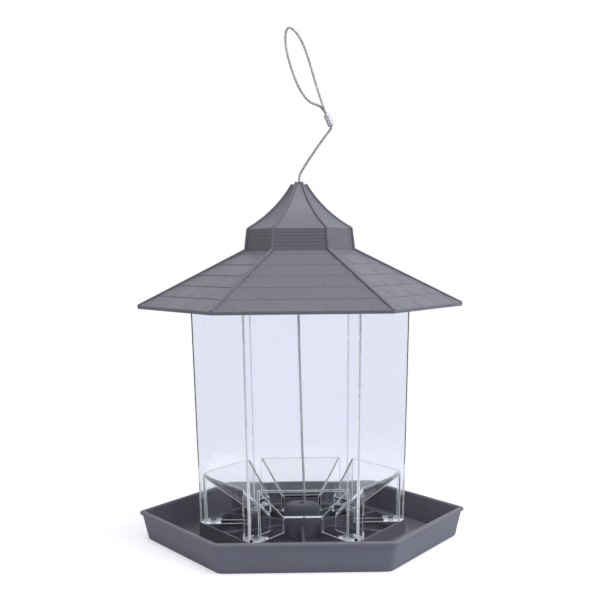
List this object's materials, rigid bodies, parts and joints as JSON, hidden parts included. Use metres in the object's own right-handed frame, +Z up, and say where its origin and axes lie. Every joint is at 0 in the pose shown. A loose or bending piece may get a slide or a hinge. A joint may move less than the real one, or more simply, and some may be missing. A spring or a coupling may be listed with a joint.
{
  "type": "hanging gravity seed feeder",
  "caption": "Hanging gravity feeder: clear six-sided hopper with feeding alcoves on a tray, under a shingled roof that slides up its wire rope for filling.",
  "frame": {"origin": "centre of the tray's underside, on the surface the feeder stands on", "axes": "+Z up along the rope and the feeder's axis of six-fold symmetry; -Y is the front, square to one side of the hexagon; +X through a corner"},
  "size_m": [0.2158, 0.1882, 0.3383],
  "materials": {
    "grey_plastic": "satin moulded plastic, slate grey, fine texture",
    "clear_plastic": "clear moulded plastic, polished",
    "steel_rope": "twisted strands of bare steel wire",
    "pressed_aluminium": "satin, pressed",
    "zinc_plated_steel": "zinc plated"
  },
  "bodies": {
    "feeder": {"tray": "grey_plastic", "hopper": "clear_plastic", "rope_inside": "steel_rope", "rope_outside": "steel_rope", "loop_ferrule": "pressed_aluminium", "stop_ferrule": "pressed_aluminium", "stop_washer": "zinc_plated_steel"},
    "roof": {"roof": "grey_plastic"}
  },
  "joints": [
    {"name": "roof_lift", "type": "slide", "parent": "feeder", "child": "roof", "axis": [0, 0, 1], "range_m": [0, 0.034], "deforming": ["rope_inside", "rope_outside"]}
  ]
}
